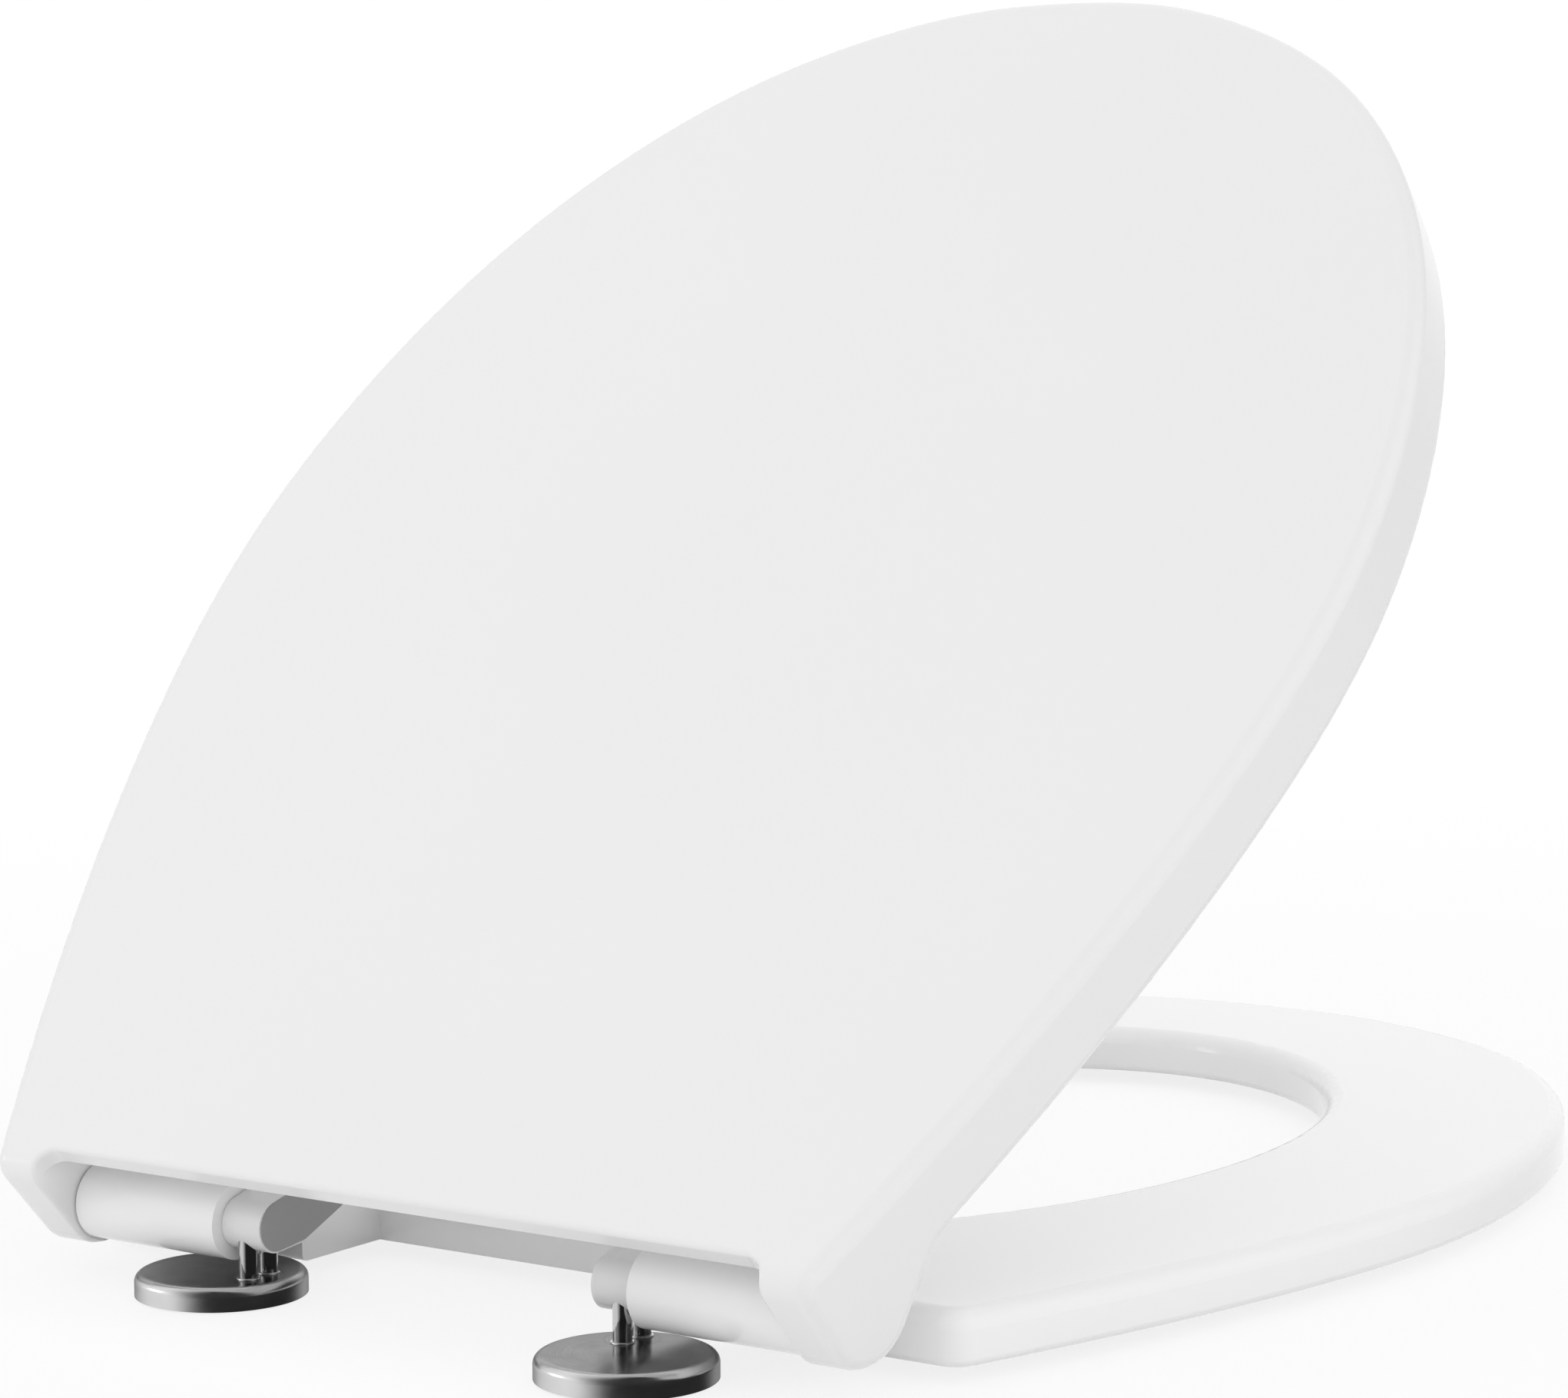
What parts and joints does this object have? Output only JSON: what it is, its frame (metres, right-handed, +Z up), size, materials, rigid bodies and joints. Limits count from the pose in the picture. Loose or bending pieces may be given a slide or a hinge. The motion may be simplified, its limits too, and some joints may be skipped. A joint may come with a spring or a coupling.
{
  "type": "toilet seat",
  "caption": "Toilet seat with an egg-shaped glossy lid over a ring, damped hinges that lift off steel pins, and off-centre steel fittings that turn to suit the bolt holes of the bowl.",
  "frame": {"origin": "middle of the footprint at the height of the bowl rim, below the ring's hole; the hinge axis lies 211 mm behind it and 20.5 mm above it", "axes": "+Y from the ring's front to its hinges, +Z up from the bowl rim, +X along the hinge axis towards the side called left, which is left as seen from behind"},
  "size_m": [0.3702, 0.4898, 0.3512],
  "materials": {
    "white_gloss": "polished",
    "hinge_plastic": "satin",
    "damper_plastic": "matte",
    "bumper_rubber": "matte",
    "pad_rubber": "matte",
    "disc_steel": "brushed",
    "insert_plastic": "matte",
    "pin_steel": "polished"
  },
  "bodies": {
    "pin_mounts": {"pin_plate_left": "disc_steel", "pin_plate_right": "disc_steel", "pin_left_rear": "pin_steel", "pin_left_front": "pin_steel", "pin_right_rear": "pin_steel", "pin_right_front": "pin_steel"},
    "fitting_left": {"base_disc_left": "disc_steel", "base_insert_left": "insert_plastic", "base_pad_left": "pad_rubber"},
    "fitting_right": {"base_disc_right": "disc_steel", "base_insert_right": "insert_plastic", "base_pad_right": "pad_rubber"},
    "hinge_carrier": {"hinge_body_left": "hinge_plastic", "hinge_body_right": "hinge_plastic", "lid_damper_housing": "damper_plastic", "ring_damper_shaft": "damper_plastic"},
    "ring": {"seat_ring": "white_gloss", "ring_foot_rear_left": "bumper_rubber", "ring_foot_rear_right": "bumper_rubber", "ring_foot_front_left": "bumper_rubber", "ring_foot_front_right": "bumper_rubber", "lug_sleeve": "damper_plastic", "ring_damper_housing": "damper_plastic"},
    "cover": {"lid": "white_gloss", "lid_bumper_rear_left": "bumper_rubber", "lid_bumper_rear_right": "bumper_rubber", "lid_bumper_front_left": "bumper_rubber", "lid_bumper_front_right": "bumper_rubber", "lid_damper_shaft": "damper_plastic", "lid_pivot": "damper_plastic"}
  },
  "joints": [
    {"name": "fitting_left_turn", "type": "hinge", "parent": "pin_mounts", "child": "fitting_left", "pos_m": [0.061, 0.21062, 0], "axis": [0, 0, 1], "range_deg": [0, 180]},
    {"name": "fitting_right_turn", "type": "hinge", "parent": "pin_mounts", "child": "fitting_right", "pos_m": [-0.061, 0.21062, 0], "axis": [0, 0, 1], "range_deg": [-120, 60]},
    {"name": "lift_off", "type": "slide", "parent": "pin_mounts", "child": "hinge_carrier", "axis": [0, 0, 1], "range_m": [0, 0.012]},
    {"name": "ring_hinge", "type": "hinge", "parent": "hinge_carrier", "child": "ring", "pos_m": [0, 0.21112, 0.0205], "axis": [-1, 0, 0], "range_deg": [0, 40]},
    {"name": "lid_hinge", "type": "hinge", "parent": "hinge_carrier", "child": "cover", "pos_m": [0, 0.21112, 0.0205], "axis": [-1, 0, 0], "range_deg": [-43, 62]}
  ]
}
